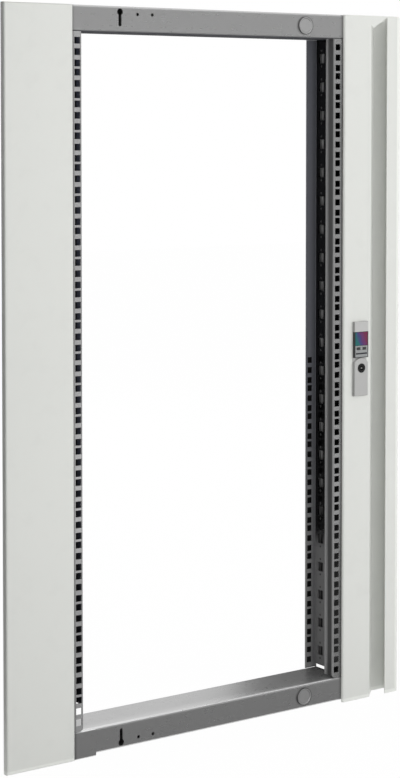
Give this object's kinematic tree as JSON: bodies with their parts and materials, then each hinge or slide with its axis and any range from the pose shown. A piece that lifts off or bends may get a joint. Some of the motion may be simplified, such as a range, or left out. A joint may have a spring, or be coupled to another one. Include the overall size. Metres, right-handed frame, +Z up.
{
  "type": "rack swing frame",
  "caption": "Hinged 19-inch swing frame with perforated uprights, box rails, light trim panels and a lever lock that drives locking rods.",
  "frame": {"origin": "on the pivot axis, at the underside of the lower pivot plate", "axes": "+X from the hinge to the lock side, +Y from the front into the cabinet, +Z up along the pivot axis"},
  "size_m": [0.7045, 0.0864, 1.075],
  "materials": {
    "panel_paint": "light grey powder coat",
    "rail_steel": "zinc-coated sheet, dull",
    "upright_steel": "zinc-coated sheet, dull",
    "channel_steel": "zinc-coated sheet, dull",
    "cap_plastic": "fine texture",
    "hinge_steel": "zinc-plated",
    "pivot_steel": "ground",
    "bearing_plastic": "smooth black",
    "bracket_steel": "zinc-plated",
    "fastener_steel": "zinc-plated",
    "lock_grey": "grey lacquer on a casting",
    "display_black": "satin black",
    "display_colour": "clear front over printed bands of plum, blue and teal",
    "keypad_grey": "satin grey",
    "button_dark": "fine texture",
    "strip_dark": "smoked clear plastic",
    "ring_black": "black",
    "barrel_nickel": "nickel-plated brass",
    "rod_steel": "bright drawn flat bar",
    "guide_plastic": "moulded black"
  },
  "bodies": {
    "hinge_mount": {"pivot_plates": "hinge_steel", "pivot_pins": "pivot_steel"},
    "swing_frame": {"hinge_shoe": "rail_steel", "upper_hinge_arm": "hinge_steel", "pivot_bushes": "bearing_plastic", "hinge_arm_screws": "fastener_steel", "left_upright": "upright_steel", "right_upright": "upright_steel", "left_side_channel": "channel_steel", "right_side_channel": "channel_steel", "bottom_rail": "rail_steel", "top_rail": "rail_steel", "cover_caps": "cap_plastic", "left_trim_panel": "panel_paint", "right_trim_panel": "panel_paint", "left_panel_brackets": "bracket_steel", "right_panel_brackets": "bracket_steel", "bracket_screws": "fastener_steel", "panel_nuts": "fastener_steel", "lock_base": "lock_grey", "display_insert": "display_black", "display_window": "display_colour", "keypad_plate": "keypad_grey", "status_strip": "strip_dark", "rod_guides": "guide_plastic", "lock_case": "bracket_steel"},
    "lock_lever": {"lock_lever": "lock_grey", "lock_ring": "ring_black", "crank_plate": "rod_steel", "crank_pins": "pivot_steel"},
    "lock_barrel": {"lock_barrel": "barrel_nickel", "barrel_cam": "fastener_steel", "cam_screw": "fastener_steel"},
    "upper_lock_rod": {"upper_rod": "rod_steel"},
    "lower_lock_rod": {"lower_rod": "rod_steel"},
    "left_button": {"left_button": "button_dark"},
    "right_button": {"right_button": "button_dark"}
  },
  "joints": [
    {"name": "frame_swing", "type": "hinge", "parent": "hinge_mount", "child": "swing_frame", "pos_m": [0, 0, 0], "axis": [0, 0, -1], "range_deg": [0, 120]},
    {"name": "lever_turn", "type": "hinge", "parent": "swing_frame", "child": "lock_lever", "pos_m": [0.563, -0.0462, 0.5288], "axis": [0, 1, 0], "range_deg": [0, 90]},
    {"name": "barrel_turn", "type": "hinge", "parent": "lock_lever", "child": "lock_barrel", "pos_m": [0.563, -0.0462, 0.5288], "axis": [0, 1, 0], "range_deg": [0, 90]},
    {"name": "upper_rod_slide", "type": "slide", "parent": "swing_frame", "child": "upper_lock_rod", "axis": [0, 0, -1], "range_m": [0, 0.018]},
    {"name": "lower_rod_slide", "type": "slide", "parent": "swing_frame", "child": "lower_lock_rod", "axis": [0, 0, 1], "range_m": [0, 0.018]},
    {"name": "left_button_press", "type": "slide", "parent": "swing_frame", "child": "left_button", "axis": [0, 1, 0], "range_m": [0, 0.0007], "stiffness_N_per_m": 800},
    {"name": "right_button_press", "type": "slide", "parent": "swing_frame", "child": "right_button", "axis": [0, 1, 0], "range_m": [0, 0.0007], "stiffness_N_per_m": 800}
  ],
  "couplings": [
    {"joint": "lever_turn", "follows": "upper_rod_slide", "rad_per_m": 87.266},
    {"joint": "lower_rod_slide", "follows": "upper_rod_slide", "ratio": 1}
  ]
}
